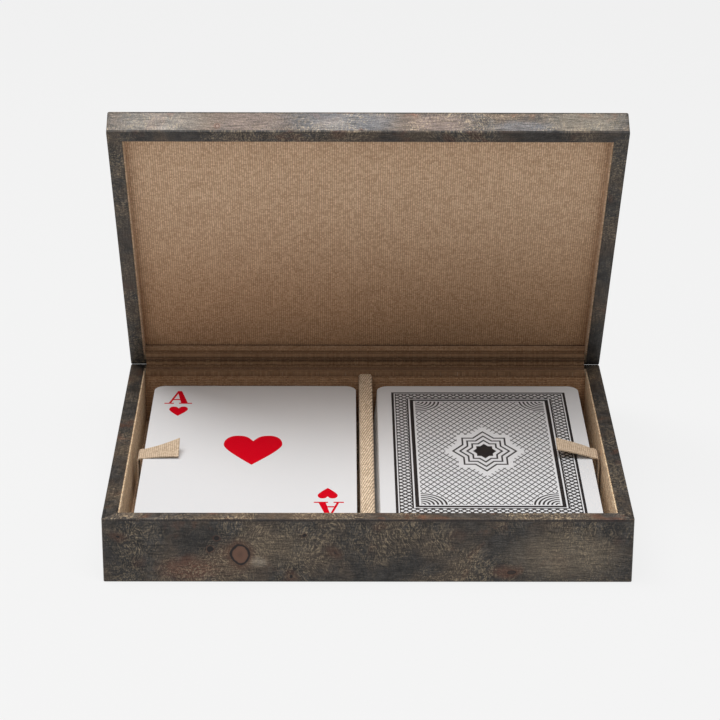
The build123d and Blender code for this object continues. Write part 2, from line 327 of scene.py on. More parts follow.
def burl(name, axes, of_lid=False, seed=0.0, light=1.0, strokes=0.72, knots=(), clouds=(),
         edge=None):
    """Charcoal-stained burl under satin lacquer; axes are along and across the strip."""
    f = Finish(name)
    place = f.split(f.place(of_lid))
    along, across = f.pick(place, axes)
    where = f.join(along, across, seed)
    ripple = f.waver(where, 0.28)
    sway = f.waver(where, 0.055, 0.5)
    near = f.vector("ADD", f.join(along, across), f.vector("SCALE", ripple, 1.5))
    bent = f.vector("ADD", where, f.vector("SCALE", sway, 12.0))
    bent = f.vector("ADD", bent, f.vector("SCALE", ripple, 2.4))

    mottle = f.noise(bent, 0.45, 4, 0.7)
    colour = burl_ground(f, bent, near, mottle, clouds)
    colour = burl_strokes(f, colour, where, bent, strokes)
    lines = f.noise(f.stretch(near, 0.16, 3.8), 1.0, 3, 0.75)
    pores = f.noise(where, 2.8, 2, 0.7)
    colour = f.shade(colour, f.step(lines, 0.30, 0.70, 0.45, 1.62))
    colour = f.shade(colour, f.step(pores, 0.32, 0.68, 0.72, 1.26))
    colour = birds_eyes(f, colour, bent)
    colour = burl_knots(f, colour, near, knots)
    if edge:
        axis, inside, outside = edge
        colour = f.mix(f.step(place[axis], inside, outside, 0.0, 0.85), colour, BLACK_KNOT)
    f.bump(f.add(f.times(lines, 0.5), f.times(mottle, 0.5)), 0.02)
    rough = f.step(mottle, 0.3, 0.7, 0.46, 0.34)
    # The light factor paints this copy of the burl lighter all over: painted light.
    return f.set(colour=f.shade(colour, light), rough=rough, gloss=SATIN)


# ---- Boards, cloth, paper and metal ----------------------------------------------------------
def fibreboard():
    """Sanded fibreboard, for the boards under the veneers."""
    f = Finish("fibreboard")
    where = f.place()
    fibres = f.noise(f.stretch(where, 1, 1, 2.5), 2.2, 3, 0.6)
    flecks = f.step(f.noise(where, 6, 2, 0.6), 0.55, 0.7)
    colour = f.mix(f.step(fibres, 0.35, 0.65), (0.33, 0.24, 0.16), (0.42, 0.32, 0.22))
    f.bump(fibres, 0.05)
    return f.set(colour=f.mix(f.times(flecks, 0.4), colour, (0.22, 0.15, 0.1)), rough=0.85)


LINT = (0.50, 0.44, 0.37)
SLUB_STEP, SLUB_PULL = 7.3, 0.45  # from thread to thread, and along one


def heather(f, flat, threads, numbers, over, fuzz):
    """The yarn's shade: each crossing's own, slubs along each thread, a wider unevenness."""
    u, v = threads
    warp_no, weft_no = numbers
    fleck = f.chance(f.join(warp_no, weft_no, 5.0))
    warp_slub = f.noise(f.join(f.times(warp_no, SLUB_STEP), f.times(v, SLUB_PULL), 4.0),
                        1.0, 2, 0.7)
    weft_slub = f.noise(f.join(f.times(u, SLUB_PULL), f.times(weft_no, SLUB_STEP), 9.0),
                        1.0, 2, 0.7)
    slub = f.add(f.times(warp_slub, over), f.times(weft_slub, f.math("SUBTRACT", 1.0, over)))
    uneven = f.noise(flat, 0.16, 3, 0.6)
    tone = f.add(f.times(fleck, 0.55), f.times(slub, 0.9))
    return f.add(tone, f.add(f.times(fuzz, 0.9), f.times(uneven, 0.35)))


def linen(name, axes, pale, dark, of_lid=False, pitch=0.52, rib=1.0, even=0.15, turn=0.0,
          painted_edge_shade=(), folds=(), painted_shade_ramp=None):
    """Plain-woven cloth in heathered yarn; axes are across and along the warp.

    The edge bands and the ramp darken it across one axis, from inside to outside, as painted shade. At the folds
    given it is lightened, as painted highlights.
    """
    f = Finish(name)
    place = f.split(f.place(of_lid))
    flat = f.stretch(f.join(*f.pick(place, axes)), 1, 1, turn=turn)
    u, v = f.split(flat)[:2]
    wave = f.split(f.vector("SCALE", f.waver(flat, 0.5), 0.45))
    u = f.math("DIVIDE", f.add(u, wave[0]), pitch)
    v = f.math("DIVIDE", f.add(v, wave[1]), pitch)
    warp_no, weft_no = f.math("FLOOR", u), f.math("FLOOR", v)
    warp_round, weft_round = f.hump(u), f.hump(v)
    over = f.math("MODULO", f.math("ABSOLUTE", f.add(warp_no, weft_no)), 2.0)
    fuzz = f.noise(flat, 3.4, 3, 0.7)
    tone = heather(f, flat, (u, v), (warp_no, weft_no), over, fuzz)

    height = f.math("MAXIMUM", f.times(warp_round, f.add(f.times(over, 0.5), 0.5)),
                    f.times(weft_round, f.add(f.times(over, -0.5), 1.0)))
    # Darker in the dips between threads: painted shade, beside the bump of the same relief.
    ribs = f.step(warp_round, 0.1, 0.9, 1.0 - 0.22 * rib, 1.0 + 0.08 * rib)
    colour = f.mix(f.step(tone, 0.80 - even, 1.90 + even), dark, pale)
    colour = f.mix(f.step(fuzz, 0.60, 0.78, 0.0, 0.45), colour, LINT)
    colour = f.shade(f.shade(colour, ribs), f.step(height, 0.1, 0.9, 0.82, 1.06))
    # Painted shade: each band darkens the colour towards its outside.
    for axis, inside, outside, depth in painted_edge_shade:
        colour = f.shade(colour, f.step(place[axis], inside, outside, 1.0, depth))
    # Painted shade: the colour is multiplied towards the tint from inside to outside.
    if painted_shade_ramp:
        axis, inside, outside, tint = painted_shade_ramp
        colour = f.mix(f.step(place[axis], inside, outside), colour, tint, "MULTIPLY")
    # Painted highlight: at each fold given the colour goes towards the pale yarn.
    for y, z in folds:
        from_fold = f.join(0.0, f.add(place[1], -y), f.add(place[2], -z))
        far = f.vector("LENGTH", from_fold, (0, 0, 0))
        colour = f.mix(f.step(far, 0.7, 0.2, 0.0, 0.55), colour, pale)
    f.bump(height, 0.10)
    return f.set(colour=colour, rough=0.92, gloss=0.08, sheen=0.06, sheen_rough=0.5)


TAPE_RIB, TAPE_THREAD = 0.55, 0.5


def tape_weave(pale, dark):
    """Grosgrain tape: ribs across it, finer threads along it, in the tape's own measures."""
    f = Finish("woven_tape")
    tape = f.split(f.node("Attribute", attribute_name="tape").outputs["Vector"])
    ribs = f.math("DIVIDE", tape[0], TAPE_RIB)
    threads = f.math("DIVIDE", tape[1], TAPE_THREAD)
    crossing = f.chance(f.join(f.math("FLOOR", ribs), f.math("FLOOR", threads), 1.0))
    height = f.add(f.times(f.hump(ribs), 0.6), f.times(f.hump(threads), 0.4))
    # Darker where ribs and threads dip, as painted shade; each crossing also has its own tone.
    tone = f.add(f.times(height, 0.7), f.times(crossing, 0.3))
    colour = f.mix(f.step(tone, 0.25, 0.85), dark, pale)
    selvedge = f.step(f.math("ABSOLUTE", tape[1]), 2.4, 2.9)
    colour = f.mix(f.times(selvedge, 0.3), colour, pale)
    f.bump(height, 0.08)
    return f.set(colour=colour, rough=0.75, gloss=0.25, sheen=0.2)


def felt():
    """Pressed felt, nearly black, with crossing hairs."""
    f = Finish("pressed_felt")
    where = f.place()
    fuzz = f.noise(where, 3.0, 5, 0.75)
    hairs = f.noise(f.stretch(where, 0.5, 4, 1, turn=0.7), 1.5, 3, 0.7, 1.2)
    nap = f.add(fuzz, hairs)
    colour = f.mix(f.step(nap, 0.75, 1.25), (0.012, 0.012, 0.013), (0.035, 0.034, 0.034))
    f.bump(nap, 0.08)
    return f.set(colour=colour, rough=0.95, gloss=0.1, sheen=0.4, sheen_rough=0.6)


def brass(name, pale, dark):
    """Brushed brass with a little tarnish."""
    f = Finish(name)
    where = f.place()
    brushed = f.noise(f.stretch(where, 0.4, 9, 9), 1.0, 3, 0.7)
    tarnish = f.step(f.noise(where, 0.9, 3, 0.6), 0.45, 0.7)
    colour = f.mix(f.times(tarnish, 0.6), pale, dark)
    f.bump(brushed, 0.01)
    rough = f.step(brushed, 0.3, 0.7, 0.24, 0.38)
    return f.set(colour=colour, metal=1.0, rough=rough)


CARD_WHITE = (0.655, 0.66, 0.672)
BLACK_INK = (0.012, 0.012, 0.014)
CARD_PITCH = 0.225  # from a card's face to the next one's


def card_stock(name, ink=None):
    """Coated card: faint grain, and a printed pattern where one is given."""
    f = Finish(name)
    where = f.place()
    grain = f.noise(where, 4.0, 3, 0.6)
    greyer = tuple(c * 0.97 for c in CARD_WHITE)
    colour = f.mix(f.step(grain, 0.3, 0.7, 0.0, 0.5), CARD_WHITE, greyer)
    if ink:
        colour = f.mix(ink(f), colour, BLACK_INK)
    linen_press = f.cells(where, 2.6, "SMOOTH_F1")["Distance"]
    f.bump(f.add(f.times(grain, 0.5), f.times(linen_press, 0.5)), 0.006)
    return f.set(colour=colour, rough=0.42, gloss=0.45)


def card_edges():
    """The cut edges of a deck, each card with its own shade."""
    f = Finish("card_edges")
    place = f.split(f.place())
    layer = f.math("FLOOR", f.math("DIVIDE", place[2], CARD_PITCH))
    tone = f.chance(f.join(layer, 1.0, 2.0))
    streaks = f.noise(f.join(f.times(place[0], 0.25), f.times(place[1], 0.25), layer), 1.0, 2)
    colour = f.mix(f.step(f.add(tone, streaks), 0.5, 1.5), (0.62, 0.61, 0.60),
                   (0.84, 0.83, 0.82))
    return f.set(colour=colour, rough=0.6, gloss=0.35)


def printed(name, colour):
    """Printing ink, a little mottled."""
    f = Finish(name)
    grain = f.noise(f.place(), 3.0, 3, 0.6)
    deeper = tuple(c * 0.9 for c in colour)
    return f.set(colour=f.mix(f.step(grain, 0.3, 0.7), deeper, colour), rough=0.5, gloss=0.06)


# ---- Finishes of the veneers and boards ------------------------------------------------------
PALE_CLOUD = (0.23, 0.195, 0.155)
# Knots: along, up, half width, half height, the core's colour and its rings' spacing.
FRONT_KNOTS = (
    (-32.4, 8.0, 2.3, 2.6, (0.125, 0.062, 0.040), 0.6),
    (-38.4, 12.4, 0.7, 0.6, BLACK_KNOT, 0.5),
    (-40.0, 9.3, 0.8, 0.7, BLACK_KNOT, 0.5),
    (-16.0, 13.5, 0.5, 0.4, BLACK_KNOT, 0.5),
    (36.4, 3.0, 0.9, 0.5, (0.030, 0.018, 0.014), 0.5),
)
# Clouds: along, up, half width, half height, colour and strength.
FRONT_CLOUDS = (
    (-36.0, 6.5, 9.0, 6.0, (0.082, 0.052, 0.034), 0.75),
    (-23.0, 10.0, 8.0, 6.0, (0.100, 0.076, 0.052), 0.5),
    (-46.0, 3.8, 7.5, 3.6, (0.095, 0.042, 0.026), 0.8),
    (-42.5, 11.5, 6.5, 4.5, CHARCOAL, 0.8),
    (-62.0, 9.0, 5.0, 9.0, CHARCOAL, 0.7),
    (-27.9, 5.9, 2.6, 1.5, PALE_CLOUD, 0.55),
    (-19.3, 3.9, 2.4, 1.5, BLACK_KNOT, 0.6),
    (4.0, 9.0, 15.0, 9.0, CHARCOAL, 0.4),
    (22.0, 10.0, 9.0, 7.0, UMBER, 0.5),
    (35.0, 3.1, 4.0, 2.0, RUSSET, 0.7),
    (50.0, 7.5, 15.0, 7.0, (0.125, 0.100, 0.072), 0.7),
    (62.0, 14.0, 3.0, 3.5, CHARCOAL, 0.7),
)
LID_FRONT_KNOTS = (
    (-38.9, 2.2, 0.5, 0.5, (0.10, 0.07, 0.055), 0.5),
    (-1.6, 0.4, 0.5, 0.5, BLACK_KNOT, 0.5),
)
LID_FRONT_CLOUDS = (
    (-53.0, 3.5, 12.0, 6.0, (0.075, 0.068, 0.060), 0.7),
    (-30.0, 3.5, 11.0, 6.0, (0.062, 0.047, 0.042), 0.6),
    (-5.0, 4.0, 14.0, 6.0, (0.055, 0.055, 0.058), 0.8),
    (-9.0, 3.0, 5.0, 2.0, PALE_CLOUD, 0.1),
    (18.0, 3.0, 9.0, 4.0, (0.085, 0.062, 0.052), 0.6),
    (40.0, 1.7, 9.0, 2.2, (0.048, 0.050, 0.055), 0.7),
    (56.0, 3.5, 10.0, 6.0, (0.070, 0.062, 0.050), 0.7),
)


def dress_wood():
    """Gives each veneer its own cut of burl, and the hidden boards their fibres."""
    looks = {
        "base_front_veneer": dict(axes="XZ", seed=3.0, knots=FRONT_KNOTS, clouds=FRONT_CLOUDS),
        "base_back_veneer": dict(axes="XZ", seed=23.0),
        "base_left_veneer": dict(axes="YZ", seed=41.0),
        "base_right_veneer": dict(axes="YZ", seed=57.0),
        # Where light is given, the burl is painted lighter: painted light on the front rim and the lid's top, a
        # painted sheen on the lid's front.
        "base_front_rim": dict(axes="XY", seed=71.0, light=1.9,
                               edge=(1, -50.45, -50.58)),
        "base_back_rim": dict(axes="XY", seed=88.0),
        "base_left_rim": dict(axes="YX", seed=97.0),
        "base_right_rim": dict(axes="YX", seed=113.0),
        "lid_front_veneer": dict(axes="XZ", seed=131.0, light=2.95, strokes=0.42,
                                 knots=LID_FRONT_KNOTS, clouds=LID_FRONT_CLOUDS),
        "lid_back_veneer": dict(axes="XZ", seed=149.0),
        "lid_left_veneer": dict(axes="YZ", seed=163.0),
        "lid_right_veneer": dict(axes="YZ", seed=181.0),
        "lid_top_veneer": dict(axes="XY", seed=199.0, light=1.2),
        "lid_front_rim": dict(axes="XY", seed=211.0),
        "lid_back_rim": dict(axes="XY", seed=229.0),
        "lid_left_rim": dict(axes="YX", seed=241.0),
        "lid_right_rim": dict(axes="YX", seed=257.0),
    }
    for node, look in looks.items():
        dress(node, burl(node + "_burl", of_lid=node.startswith("lid"), **look))
    board = fibreboard()
    for node, slot in SLOT_OF.items():
        if slot == "core_board":
            dress(node, board)


# ---- Linings ---------------------------------------------------------------------------------
PALE_LINEN = (0.74, 0.525, 0.355)
DARK_LINEN = (0.34, 0.205, 0.115)
PALEST = 0.85
LINING_ROUNDING = 0.17 * MM
FELT_ROUNDING = 0.1 * MM
SIDES = ("front", "back", "left", "right")


def painted_light_yarns(amount, warmth=0.0):
    """The linen's two yarns, both paler or darker by a factor as painted light and shade, and warmer where asked,
    as painted warm bounce light in the shade.
    """
    tint = (amount, amount * (1 - 0.14 * warmth), amount * (1 - 0.26 * warmth))
    return [tuple(min(c * t, PALEST) for c, t in zip(yarn, tint))
            for yarn in (PALE_LINEN, DARK_LINEN)]


def cover_case():
    """The case's linings: cloth over thin card, with softened edges at the rim."""
    # Painted light and shade: the case's front and back linings darker and warmer, its side linings paler.
    along_x = linen("case_linen_along", "ZX", *painted_light_yarns(0.58, 1.1), rib=1.6, even=0.5)
    along_y = linen("case_linen_sides", "YZ", *painted_light_yarns(1.3))
    flat = linen("case_linen_floor", "XY", PALE_LINEN, DARK_LINEN)
    twill = linen("divider_linen", "XY", (0.76, 0.61, 0.45), (0.40, 0.29, 0.19), pitch=0.62,
                  rib=2.2, turn=0.27)
    for side, cloth in zip(SIDES, (along_x, along_x, along_y, along_y)):
        soft_copy(f"base_{side}_lining", cloth, UP, LINING_ROUNDING)
    soft_copy("divider_cover", twill, UP, 0)
    for side in ("left", "right"):
        soft_copy(f"{side}_floor_lining", flat, UP, LINING_ROUNDING)
    soft_copy("base_felt", felt(), -UP, FELT_ROUNDING)


def cover_lid():
    """The lid's side linings, and the padded panel between them."""
    # Painted shade: the lid's front and back linings darker and warmer.
    along_x = linen("lid_linen_along", "ZX", *painted_light_yarns(0.62, 0.8), of_lid=True, rib=1.6, even=0.5)
    along_y = linen("lid_linen_sides", "YZ", PALE_LINEN, DARK_LINEN, of_lid=True)
    # The panel is painted darker in thin bands at its hinge end and its front end, as painted shade where the
    # linings meet it.
    panel = linen("lid_panel_linen", "XY", PALE_LINEN, DARK_LINEN, of_lid=True, pitch=0.58,
                  even=0.35, painted_edge_shade=((1, -5.1, -4.3, 0.3), (1, -96.5, -97.1, 0.3)),
                  # Painted shade: darker and warmer towards the hinge.
                  painted_shade_ramp=(1, -78.0, -8.0, (0.72, 0.63, 0.54)))
    for side, cloth in zip(SIDES, (along_x, along_x, along_y, along_y)):
        soft_copy(f"lid_{side}_lining", cloth, -LID_OUT, LINING_ROUNDING)
    lid_panel(panel)


PANEL_CROWN = 0.35 * MM
PANEL_SHOULDER = 3.0 * MM
PANEL_CELLS = (120, 90)


def lid_panel(material):
    """The lined panel: a thin card whose cloth face swells a little between its edges."""
    node = "lid_panel_lining"
    corners = [v.co - PIN for v in nodes[node].data.vertices]
    wide = max(c.x for c in corners)
    backs = [c.dot(LID_BACK) for c in corners]
    outs = [c.dot(LID_OUT) for c in corners]
    centre, deep = (min(backs) + max(backs)) / 2, (max(backs) - min(backs)) / 2
    bm = bmesh.new()
    bmesh.ops.create_grid(bm, x_segments=PANEL_CELLS[0], y_segments=PANEL_CELLS[1], size=1)
    grown = bmesh.ops.extrude_face_region(bm, geom=list(bm.faces))["geom"]
    rear = set(of_kind(bmesh.types.BMVert, grown))
    for vert in bm.verts:
        x, back = vert.co.x * wide, vert.co.y * deep
        inset = min(wide - abs(x), deep - abs(back)) / PANEL_SHOULDER
        swell = PANEL_CROWN * (1 - max(0, 1 - inset) ** 2)
        out = max(outs) if vert in rear else min(outs) - swell
        vert.co = PIN + Vector((x, 0, 0)) + LID_BACK * (centre + back) + LID_OUT * out
    piece = add_piece("lid_panel_cloth", bm, material, "lid", node)


# ---- Hinge cloth -----------------------------------------------------------------------------
WALL = 3.8 * MM  # how thick a wall is, without its lining
LINING = 0.4 * MM
CLOTH = 0.3 * MM
CLOTH_TUCK = 1.8 * MM  # how far in front of the pins the cloth's valley stays
CLOTH_CELLS = 60
FOLD_ROUNDING = 0.5 * MM
# A nearly black cord beside the hinge cloth on each side, put in the rims' chink as painted shade.
CHINK_SHADE_RADIUS = 0.11 * MM
CHINK_SHADE_DROP = 0.07 * MM  # from the pins' line down to the dark cord's


def painted_shade_black():
    """Nearly black and matt, for the cords of painted shade in the rims' chink."""
    f = Finish("painted_shade_black")
    twist = f.noise(f.place(), 5.0, 2, 0.6)
    colour = f.mix(f.step(twist, 0.3, 0.7), (0.006, 0.005, 0.005), (0.014, 0.011, 0.010))
    f.bump(twist, 0.02)
    return f.set(colour=colour, rough=1.0, gloss=0.0)


def hinge_cloth():
    """The cloth across the hinge: over the case's back edge, to the pins, over the lid's."""
    low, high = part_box("hinge_cloth")
    case_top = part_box("base_back_board")[1].z
    lap, seat = PIN.z - low.z, PIN.z - case_top
    inner = WALL + LINING
    profile = [(inner, lap), (inner, seat - LINING), (CLOTH_TUCK, seat - LINING)]
    case_line = [PIN + Vector((0, -inward, -down)) for inward, down in profile]
    lid_line = [PIN - LID_BACK * inward + LID_OUT * down for inward, down in profile]

    bm = bmesh.new()
    verts = [bm.verts.new((low.x, p.y, p.z)) for p in case_line + lid_line[::-1]]
    edges = [bm.edges.new(pair) for pair in zip(verts, verts[1:])]
    for _ in range(CLOTH_CELLS):
        grown = bmesh.ops.extrude_edge_only(bm, edges=edges)["geom"]
        edges = of_kind(bmesh.types.BMEdge, grown)
        bmesh.ops.translate(bm, verts=of_kind(bmesh.types.BMVert, grown),
                            vec=((high.x - low.x) / CLOTH_CELLS, 0, 0))
    folds = [e for e in bm.edges if abs(e.verts[0].co.x - e.verts[1].co.x) > LEVEL_WITHIN
             and len(e.link_faces) == 2]
    bmesh.ops.bevel(bm, geom=folds, offset=FOLD_ROUNDING, segments=4, profile=0.5,
                    affect="EDGES", material=-1)
    bmesh.ops.recalc_face_normals(bm, faces=bm.faces)
    bmesh.ops.solidify(bm, geom=bm.faces, thickness=CLOTH)

    # Painted highlights where the cloth folds over the walls' inner edges.
    case_fold = PIN + Vector((0, -WALL - LINING / 2, -seat + LINING / 2))
    lid_fold = PIN - LID_BACK * (WALL + LINING / 2) + LID_OUT * (seat - LINING / 2)
    fold_highlights = [(fold.y / MM, fold.z / MM) for fold in (case_fold, lid_fold)]
    # Painted shade: the hinge cloth much darker and warmer.
    cloth = linen("hinge_linen", "YX", *painted_light_yarns(0.32, 1.1), rib=1.6, even=0.5, folds=fold_highlights)
    piece = add_piece("hinge_cloth_fold", bm, cloth, node="hinge_cloth")
    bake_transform(piece)


def hinge_chink_shades():
    """Beside the cloth, a nearly black cord just under the pins' line closes the rims' chink, as painted shade."""
    cloth_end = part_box("hinge_cloth")[1].x
    box_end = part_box("base_front_rim")[1].x
    long = box_end - cloth_end
    chink_shade_finish = painted_shade_black()
    for side, direction in (("left", -1), ("right", 1)):
        bm = bmesh.new()
        bmesh.ops.create_cone(bm, cap_ends=True, segments=12, radius1=CHINK_SHADE_RADIUS,
                              radius2=CHINK_SHADE_RADIUS, depth=long,
                              matrix=Matrix.Rotation(pi / 2, 4, "Y"))
        shift = PIN + Vector((direction * (cloth_end + long / 2), 0, -CHINK_SHADE_DROP))
        bmesh.ops.translate(bm, verts=bm.verts, vec=shift)
        add_piece(f"{side}_hinge_chink_shade", bm, chink_shade_finish, "case")


# ---- Ribbons ---------------------------------------------------------------------------------
RIBBON_WIDE = 6.0 * MM
RIBBON_THICK = 0.35 * MM
RIBBON_TAIL = 9.5 * MM  # how far in from the card's edge it ends
RIBBON_BULGE = 0.65 * MM  # from its node's outer side out to its upright's guide points
RIBBON_HOLLOW = 0.125 * MM  # how far the tail's middle sags between its selvedges
AIR_OVER_CARD = 0.12 * MM


def smooth_line(points):
    """A smooth line near these points, as evenly spaced places along it."""
    curve = bpy.data.curves.new("route", "CURVE")
    curve.dimensions = "3D"
    curve.resolution_u = 6
    spline = curve.splines.new("NURBS")
    spline.points.add(len(points) - 1)
    for point, (x, z) in zip(spline.points, points):
        point.co = (x, 0, z, 1)
    spline.order_u = 3
    spline.use_endpoint_u = True
    holder = bpy.data.objects.new("route", curve)
    mesh = bpy.data.meshes.new_from_object(holder)
    line = [v.co.copy() for v in mesh.vertices]
    bpy.data.objects.remove(holder)
    bpy.data.meshes.remove(mesh)
    bpy.data.curves.remove(curve)
    return line


def ribbon_route(low, high, card_edge, card_top, direction):
    """Guide points: under the deck to its outer side, up beside it, and in over its edge."""
    upright = (high.x if direction > 0 else low.x) + direction * RIBBON_BULGE
    anchored = low.x if direction > 0 else high.x
    floor = low.z + RIBBON_THICK / 2
    top = card_top + RIBBON_THICK / 2 + AIR_OVER_CARD
    under = [(anchored, floor)] + [(card_edge - direction * d * MM, floor) for d in (20, 3)]
    beside = [(upright, z) for z in (floor, floor + 2.5 * MM, floor + 6 * MM, top - 3 * MM,
                                     top - 0.1 * MM)]
    over = [(upright - direction * d * MM, top) for d in (2.0, 4.5, 7.5)]
    return under + beside + over + [(card_edge - direction * RIBBON_TAIL, top)]


def ribbon(side, top_card, direction, rise, front_back, shape, curl, material):
    """A tape under the deck, up beside it, and over its edge as a free tail that stands up.

    The tail rises by rise millimetres, and by front_back more at its back selvedge and less
    at its front one; shape and curl say how late along the tail each of them comes.
    """
    node = f"{side}_ribbon"
    low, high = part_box(node)
    card_low, card_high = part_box(top_card)
    middle_y = (low.y + high.y) / 2
    edge = card_high.x if direction > 0 else card_low.x
    line = smooth_line(ribbon_route(low, high, edge, card_high.z, direction))
    length = [0.0]
    for a, b in zip(line, line[1:]):
        length.append(length[-1] + (b - a).length)

    bm = bmesh.new()
    bmesh.ops.create_grid(bm, x_segments=len(line) - 1, y_segments=10, size=0.5)
    tape = bm.verts.layers.float_vector.new("tape")
    over_deck = low.z + 4 * MM
    for vert in bm.verts:
        number = round((vert.co.x + 0.5) * (len(line) - 1))
        t = vert.co.y * 2
        place = line[number].copy()
        share = (edge - place.x) * direction / RIBBON_TAIL if place.z > over_deck else 0.0
        share = max(0.0, min(1.0, share))
        lift = rise * share ** shape + front_back * t * share ** curl
        place.z += lift * MM - RIBBON_HOLLOW * (1 - t * t) * share
        place.y = middle_y + t * RIBBON_WIDE / 2
        vert[tape] = Vector((length[number] / MM, t * RIBBON_WIDE / 2 / MM, 0))
        vert.co = place
    bmesh.ops.recalc_face_normals(bm, faces=bm.faces)
    bmesh.ops.solidify(bm, geom=bm.faces, thickness=RIBBON_THICK)
    piece = add_piece(f"{side}_ribbon_tape", bm, material, node=node)
    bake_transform(piece)


# ---- Card faces ------------------------------------------------------------------------------
RED = (0.56, 0.0, 0.010)
PRINT_STANDS = 0.012 * MM
PRINT_SUNK = 0.002 * MM
STROKE_STEP = 0.0015 * MM  # each stroke of a letter lies this much over the one before
# The print's sizes, wide and tall, and its places, all in millimetres.
BIG_HEART, SMALL_HEART, LETTER = (15.9, 18.9), (5.2, 6.4), (7.2, 9.0)
HEART_FROM_MIDDLE = (0.55, 0.45)
INDEX_FROM_MIDDLE = (21.0, 26.5)
LETTER_FROM_HEART = (0.4, 9.7)


def heart(x, y, wide, tall, turned=False):
    """A heart pip, outlined by a flat closed curve."""
    curve = bpy.data.curves.new("heart", "CURVE")
    curve.dimensions = "2D"
    curve.fill_mode = "BOTH"
    curve.resolution_u = 12
    spline = curve.splines.new("BEZIER")
    spline.use_cyclic_u = True
    half = 0.5
    shape = (
        ((0.0, 0.31), (0.08, 0.44), (-0.08, 0.44)),
        ((-0.27, 0.5), (-0.12, 0.5), (-0.41, 0.5)),
        ((-half, 0.20), (-half, 0.37), (-half, 0.03)),
        ((0.0, -half), (-0.19, -0.29), (0.19, -0.29)),
        ((half, 0.20), (half, 0.03), (half, 0.37)),
        ((0.27, 0.5), (0.41, 0.5), (0.12, 0.5)),
    )
    spline.bezier_points.add(len(shape) - 1)
    for point, (place, before, after) in zip(spline.bezier_points, shape):
        point.handle_left_type = point.handle_right_type = "FREE"
        point.co = (*place, 0)
        point.handle_left = (*before, 0)
        point.handle_right = (*after, 0)
    holder = bpy.data.objects.new("heart", curve)
    mesh = bpy.data.meshes.new_from_object(holder)
    bm = bmesh.new()
    bm.from_mesh(mesh)
    bpy.data.objects.remove(holder)
    bpy.data.meshes.remove(mesh)
    bpy.data.curves.remove(curve)
    sign = -1 if turned else 1
    bmesh.ops.scale(bm, verts=bm.verts, vec=(sign * wide * MM, sign * tall * MM, 1))
    bmesh.ops.translate(bm, verts=bm.verts, vec=(x * MM, y * MM, 0))
    return bm


def index_a(x, y, wide, tall, turned=False):
    """The ace's index: a serif capital made of a thin and a thick leg, a bar and two feet."""
    bm = bmesh.new()
    strokes = (
        ((-0.38, 0.0), (-0.29, 0.0), (0.03, 1.0), (-0.06, 1.0)),
        ((0.13, 0.0), (0.40, 0.0), (0.09, 1.0), (-0.08, 1.0)),
        ((-0.26, 0.29), (0.26, 0.29), (0.24, 0.37), (-0.22, 0.37)),
        ((-0.53, 0.0), (-0.16, 0.0), (-0.16, 0.07), (-0.53, 0.07)),
        ((0.04, 0.0), (0.55, 0.0), (0.55, 0.07), (0.04, 0.07)),
    )
    sign = -1 if turned else 1
    for number, stroke in enumerate(strokes):
        corners = [(x + sign * u * wide, y + sign * (v - 0.5) * tall) for u, v in stroke]
        bm.faces.new([bm.verts.new((right * MM, back * MM, number * STROKE_STEP))
                      for right, back in corners])
    return bm


def print_on_ace(name, bm, ink):
    """Lays a flat shape on the ace as a thin solid of ink."""
    bmesh.ops.translate(bm, verts=bm.verts, vec=(0, 0, CARD_TOP - PRINT_SUNK))
    grown = bmesh.ops.extrude_face_region(bm, geom=list(bm.faces))["geom"]
    bmesh.ops.translate(bm, verts=of_kind(bmesh.types.BMVert, grown),
                        vec=(0, 0, PRINT_STANDS + PRINT_SUNK))
    add_piece(name, bm, ink, "left_cards")


def dress_decks():
    """The two top cards' faces, the decks' edges, and the red print on the ace."""
    dress("ace_card", card_stock("ace_face"))
    dress("patterned_card", card_stock("pattern_face", ink=trellis))
    edges = card_edges()
    dress("left_deck", edges)
    dress("right_deck", edges)
    red = printed("red_ink", RED)
    centre = middle("ace_card") / MM
    right, back = HEART_FROM_MIDDLE
    print_on_ace("ace_heart", heart(centre.x + right, centre.y + back, *BIG_HEART), red)
    for turned, name in ((False, "index"), (True, "index_turned")):
        sign = -1 if turned else 1
        x = centre.x - sign * INDEX_FROM_MIDDLE[0]
        y = centre.y + sign * INDEX_FROM_MIDDLE[1]
        print_on_ace(f"{name}_heart", heart(x, y, *SMALL_HEART, turned), red)
        x -= sign * LETTER_FROM_HEART[0]
        y += sign * LETTER_FROM_HEART[1]
        print_on_ace(f"{name}_letter", index_a(x, y, *LETTER, turned), red)


PRINT_WIDE, PRINT_TALL = 24.6, 40.0  # from the card's middle to the print's edges
PANEL_IN = 6.6  # from the print's edge in to the panel's
STAR_POINTS, STAR_BLOCK = (9.5, 14.0), (6.4, 9.4)  # half width and half height
FAN = 7.2


